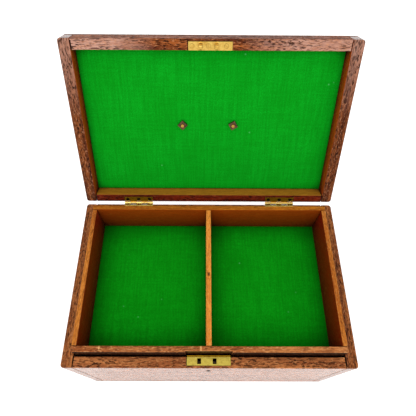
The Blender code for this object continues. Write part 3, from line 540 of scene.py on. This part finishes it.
def dress_tray():
    divider_low, divider_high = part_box("tray_divider")
    front_low, front_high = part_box("tray_wall_front")
    _, floor_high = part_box("tray_baize_left")
    middle = (divider_low.x + divider_high.x) / 2
    knot = [scribe((middle - KNOT_HALF_WIDTH, KNOT_ALONG[0], divider_high.z - 0.003),
                   (middle + KNOT_HALF_WIDTH, KNOT_ALONG[1], divider_high.z + 0.002), 0.8, KNOT_SOFTNESS)]
    dress(["tray_divider"], wood("tray_divider_wood", TRAY, 21.0, along_y=True, marks=knot))
    red_well_shade = (floor_high.z, divider_high.z, WELL_SHADE_RED)
    brown_well_shade = (floor_high.z, divider_high.z, WELL_SHADE_BROWN)
    for side, seed in (("left", 23.0), ("right", 21.0)):
        # the outer sides are painted shade brown, for the dark gap between tray and box
        faces = [(INWARD[side], TRAY_SIDE), (OUTWARD[side], SHADE_BROWN)]
        dress(["tray_wall_" + side], wood(f"tray_{side}_wood", TRAY_EDGE, seed, along_y=True, faces=faces,
                                          well=red_well_shade))
    below, above = front_high.z - MARK_DEPTH, front_high.z + PROUD
    chips = [(scribe((x - CHIP_HALF_WIDTH, front_low.y + 0.0016, below),
                     (x + CHIP_HALF_WIDTH, front_high.y, above), 0.9, CHIP_SOFTNESS), CHIP)
             for x in CHIP_PLACES]
    shadow = [scribe((front_low.x, front_low.y - PROUD, below), (front_high.x, front_low.y + 0.0005, above),
                     0.8)]
    # the front wall's outer side is painted shade brown, with a painted shadow along its top front edge
    dress(["tray_wall_front"], wood("tray_front_wood", TRAY_LIP, 25.0, veils=chips, well=red_well_shade, marks=shadow,
                                    faces=[(FRONTWARD, SHADE_BROWN), (BACKWARD, TRAY_SIDE)]))
    # the back wall's outer side is painted shade brown
    dress(["tray_wall_back"], wood("tray_back_wood", TRAY_BACK, 26.0, well=brown_well_shade,
                                   faces=[(FRONTWARD, TRAY_END), (BACKWARD, SHADE_BROWN)]))
    # the floor's edges are painted shade brown
    rims = [(direction, SHADE_BROWN) for direction in (FRONTWARD, BACKWARD, LEFTWARD, RIGHTWARD)]
    dress(["tray_floor"], wood("tray_floor_wood", TRAY_BACK, HIDDEN_SEED + 2.0, faces=rims))


# ---- Brass and steel

KNUCKLE_REACH = 0.00182  # from the hinge axis to just outside the knuckle
TARNISH_SCALE = 240.0
SPOT_SCALE = 900.0
SCRATCHES = (150.0, 2400.0, 900.0)
SCRATCH_RELIEF = 0.00006
METAL_EDGE = 0.0005


def metal(name, colour, dull, roughness, tarnish, knuckle=None, seam=False, on_lid=False):
    """A worked metal: fine scratches, dull patches and brighter worn edges.

    knuckle is a (colour, dull) pair painted on the part rolled round the hinge axis as a painted highlight,
    and seam paints a dark line of shade on the metal next to it.
    """
    s = Shader(name)
    flat = s.place()
    patch = s.noise(flat, TARNISH_SCALE, 4.0, 0.65)
    scratch = s.noise(s.place(scale=SCRATCHES, source=flat), 1.0, 2.0, 0.7)
    spot = s.noise(flat, SPOT_SCALE, 2.0)
    share = s.maths("MULTIPLY", s.ramp(patch, 0.38, 0.68), tarnish)
    paint = s.mix(share, colour, dull)
    paint = s.mix(s.ramp(spot, 0.58, 0.7, 0.0, 0.5 * tarnish), paint, dull)
    paint = s.mix(s.maths("MULTIPLY", s.edge(METAL_EDGE), 0.5), paint, colour)
    if knuckle or seam:
        away = s.node("ShaderNodeVectorMath", {0: s.shut_place(on_lid), 1: HINGE}, operation="SUBTRACT")
        away = s.node("ShaderNodeVectorMath", {0: away, 1: (0.0, 1.0, 1.0)}, operation="MULTIPLY")
        away = s.node("ShaderNodeVectorMath", {0: away}, output="Value", operation="LENGTH")
        if seam:
            # painted shade: a dark line beside the knuckle
            close = s.ramp(away, 1.75 * KNUCKLE_REACH, 1.55 * KNUCKLE_REACH)
            paint = s.mix(close, paint, linear(*BLACK))
        if knuckle:
            # painted highlight: the knuckle in brighter brass
            rolled = s.mix(s.maths("MULTIPLY", share, 0.5), knuckle[0], knuckle[1])
            paint = s.mix(s.ramp(away, 1.1 * KNUCKLE_REACH, KNUCKLE_REACH), paint, rolled)
    s.plug("Base Color", paint)
    s.set("Metallic", 1.0)
    rough = s.maths("ADD", s.ramp(patch, 0.3, 0.7, roughness - 0.08, roughness + 0.12),
                    s.ramp(scratch, 0.3, 0.7, -0.05, 0.05))
    s.plug("Roughness", rough)
    height = s.maths("ADD", scratch, s.maths("MULTIPLY", patch, 0.5))
    s.plug("Normal", s.bump(height, SCRATCH_RELIEF, 0.7))
    return s.material


def dress_metal():
    # bright brass for the case leaf, also painted on the knuckles as a painted highlight
    rolled = (linear(255, 222, 128), linear(226, 172, 78))
    plate = metal("clean_brass", linear(210, 188, 84), linear(168, 140, 56), 0.32, 0.6)
    handle = metal("handle_brass", linear(196, 156, 74), linear(130, 94, 38), 0.34, 0.7)
    strike = metal("strike_brass", linear(232, 194, 100), linear(182, 136, 52), 0.34, 0.7)
    leaf = metal("leaf_brass", *rolled, 0.24, 0.3, knuckle=rolled, seam=True)
    aged = metal("aged_brass", linear(206, 156, 28), linear(140, 96, 12), 0.42, 0.7)
    # the lid leaf is darker than the case leaf: partly tarnish, partly painted shade
    lid_leaf = metal("lid_leaf_brass", linear(214, 164, 30), linear(150, 104, 14), 0.45, 0.6, knuckle=rolled,
                     on_lid=True)
    dark = metal("dark_steel", linear(84, 66, 50), linear(26, 18, 14), 0.45, 0.9)
    nut = metal("nut_brass", linear(118, 92, 72), linear(60, 42, 34), 0.48, 0.9)
    names = sorted(NODES)
    dress(["lock_selvage"], plate)
    dress(["handle_bail", "handle_post_left", "handle_post_right"], handle)
    dress(["strike_plate", "staple_left", "staple_right"], strike)
    dress([n for n in names if n.startswith("strike_screw")], strike)
    dress([n for n in names if n.startswith(("hinge_case_leaf", "hinge_pin", "case_leaf_screw"))], leaf)
    dress([n for n in names if n.startswith("hinge_lid_leaf")], lid_leaf)
    dress([n for n in names if n.startswith("lid_leaf_screw")], dark)
    dress(["lock_backplate", "lock_screw_left", "lock_screw_right"], aged)
    dress(["lock_case", "lock_bolt", "lock_drill_pin", "lock_spring"], dark)
    dress(["handle_nut_left", "handle_nut_right"], nut)
    smooth_round([n for n in names if any(word in n for word in ("screw", "pin", "post", "leaf", "bail"))])


# ---- Baize linings

# deep, bright, cloudy and thread, in linear values
LID_GREENS = ((0.0018, 0.262, 0.0052), (0.0034, 0.436, 0.0185),
              (0.0016, 0.250, 0.0040), (0.0014, 0.205, 0.0032))
# the tray's greens are darker than the lid's, as painted shade in the tray
TRAY_GREENS = ((0.0018, 0.232, 0.0030), (0.0036, 0.365, 0.0085),
               (0.0014, 0.200, 0.0024), (0.0012, 0.170, 0.0020))
LINT = (0.10, 0.50, 0.16)
SHADED_GREEN = (0.0006, 0.050, 0.0008)
SHEEN_GREEN = (0.1, 1.0, 0.15, 1.0)
FELT_SCALE = 900.0
CLOUD_SCALE = 26.0
WARP = (520.0, 26.0, 26.0)
WEFT = (30.0, 420.0, 30.0)
LINT_SCALE = 85.0
LINT_PICK_SCALE = 55.0
CLOTH_RELIEF = 0.0003


def baize_material(on_lid):
    """Green woollen cloth: felted fibres over a faint weave, with odd bits of lint."""
    s = Shader("green_baize_lid" if on_lid else "green_baize_tray")
    deep, bright, cloudy, thread = LID_GREENS if on_lid else TRAY_GREENS
    flat = s.shut_place(on_lid)
    felt = s.noise(flat, FELT_SCALE, 3.0, 0.7)
    cloud = s.noise(flat, CLOUD_SCALE, 3.0, 0.6)
    warp = s.noise(s.place(scale=WARP, source=flat), 1.0, 2.0, 0.6)
    weft = s.noise(s.place(scale=WEFT, source=flat), 1.0, 2.0, 0.6)
    weave = s.maths("ADD", s.maths("MULTIPLY", warp, 0.65), s.maths("MULTIPLY", weft, 0.35))
    colour = s.mix(s.ramp(felt, 0.35, 0.65), deep, bright)
    colour = s.mix(s.ramp(cloud, 0.35, 0.7, 0.0, 0.4), colour, cloudy)
    colour = s.mix(s.ramp(weave, 0.42, 0.58, 0.4, 0.0), colour, thread)
    lint = s.node("ShaderNodeTexVoronoi", {"Vector": flat, "Scale": LINT_SCALE, "Randomness": 1.0},
                  output="Distance")
    pick = s.noise(flat, LINT_PICK_SCALE, 1.0)
    specks = s.maths("MULTIPLY", s.ramp(lint, 0.11, 0.04), s.ramp(pick, 0.60, 0.66))
    colour = s.mix(s.maths("MULTIPLY", specks, 0.5), colour, LINT)
    shade = s.crevice(0.016) if on_lid else s.crevice(0.034, 0.80, 0.25)
    colour = s.mix(s.maths("MULTIPLY", shade, 0.8), colour, SHADED_GREEN)
    s.plug("Base Color", colour)
    s.set("Roughness", 1.0)
    s.set("Specular IOR Level", 0.03)
    s.set("Sheen Weight", 0.05)
    s.set("Sheen Roughness", 0.5)
    s.set("Sheen Tint", SHEEN_GREEN)
    height = s.maths("ADD", s.maths("MULTIPLY", weave, 0.6), felt)
    s.plug("Normal", s.bump(height, CLOTH_RELIEF, 0.7))
    return s.material


CLOTH_STEP = 0.0022
CLOTH_TUCK = 0.0012     # how far the cloth's edge rolls down where it meets the wood
CLOTH_ROLL = 0.00025    # how deep it rolls there
CLOTH_WAVE = 0.00010
CLOTH_SWELLS = 40.0     # how close together its broad swells are
CLOTH_RIPPLES = 160.0
CLOTH_CREASE = math.radians(50.0)
SEAT_SINK = 0.00018     # how deep a handle nut presses the cloth in
SEAT_REACH = 0.009


def lining(name, low, high, face_up, to_place, seed, dimples=()):
    """A cloth slab between two corners.

    Its shown face is softly uneven, with a rolled edge and the dimples pressed in.
    """
    size = high - low
    columns = max(8, round(size.x / CLOTH_STEP))
    rows = max(8, round(size.y / CLOTH_STEP))
    shown, hidden = (high.z, low.z) if face_up else (low.z, high.z)
    outward = 1.0 if face_up else -1.0
    bm = bmesh.new()
    layers = []
    for layer in range(2):
        grid = []
        for row in range(rows + 1):
            line = []
            for column in range(columns + 1):
                x = low.x + size.x * column / columns
                y = low.y + size.y * row / rows
                z = hidden
                if layer:
                    rim = min(x - low.x, high.x - x, y - low.y, high.y - y)
                    roll = max(0.0, 1.0 - rim / CLOTH_TUCK)
                    sink = CLOTH_ROLL * roll * roll
                    for spot in dimples:
                        away = math.hypot(x - spot.x, y - spot.y)
                        sink += SEAT_SINK * math.exp(-(away / SEAT_REACH) ** 2)
                    broad = Vector((x * CLOTH_SWELLS, y * CLOTH_SWELLS, seed))
                    close = Vector((x * CLOTH_RIPPLES, y * CLOTH_RIPPLES, seed + 5.0))
                    swell = noise.noise(broad) * CLOTH_WAVE
                    swell += noise.noise(close) * CLOTH_WAVE * 0.5
                    z = shown - outward * (sink + CLOTH_WAVE - swell)
                line.append(bm.verts.new((x, y, z)))
            grid.append(line)
        layers.append(grid)
    for grid in layers:
        for near, far in zip(grid, grid[1:]):
            for i in range(columns):
                bm.faces.new((near[i], near[i + 1], far[i + 1], far[i]))
    under, over = layers
    border = [(0, i) for i in range(columns)] + [(i, columns) for i in range(rows)]
    border += [(rows, i) for i in range(columns, 0, -1)] + [(i, 0) for i in range(rows, 0, -1)]
    for (r0, c0), (r1, c1) in zip(border, border[1:] + border[:1]):
        bm.faces.new((under[r0][c0], under[r1][c1], over[r1][c1], over[r0][c0]))
    cloth = add_mesh(name, bm)
    cloth.data.transform(to_place)
    cloth.data.shade_smooth()
    cloth.data.set_sharp_from_angle(angle=CLOTH_CREASE)
    return cloth


def make_linings():
    green = baize_material(True)
    low, high = shut_box("lid_baize")
    seats = [sum(shut_box(n), Vector()) / 2 for n in ("handle_nut_left", "handle_nut_right")]
    cloth = lining("lid_lining_cloth", low, high, False, TO_OPEN, 3.0, seats)
    finish_cloth(cloth, green, "lid", "lid_baize")
    green = baize_material(False)
    for side, seed in (("left", 11.0), ("right", 17.0)):
        node = "tray_baize_" + side
        low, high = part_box(node)
        cloth = lining(f"tray_{side}_lining_cloth", low, high, True, Matrix(), seed)
        finish_cloth(cloth, green, "tray", node)


def finish_cloth(cloth, material, body, node):
    cloth.data.materials.append(material)
    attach(cloth, body)
    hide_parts(node)


def main():
    make_camera()
    make_world()
    make_light("key", KEY_PLACE, KEY_AIM, KEY_SIZE, KEY_POWER)
    make_floor()
    dress_carcass()
    dress_lid()
    dress_tray()
    dress_metal()
    make_linings()


main()
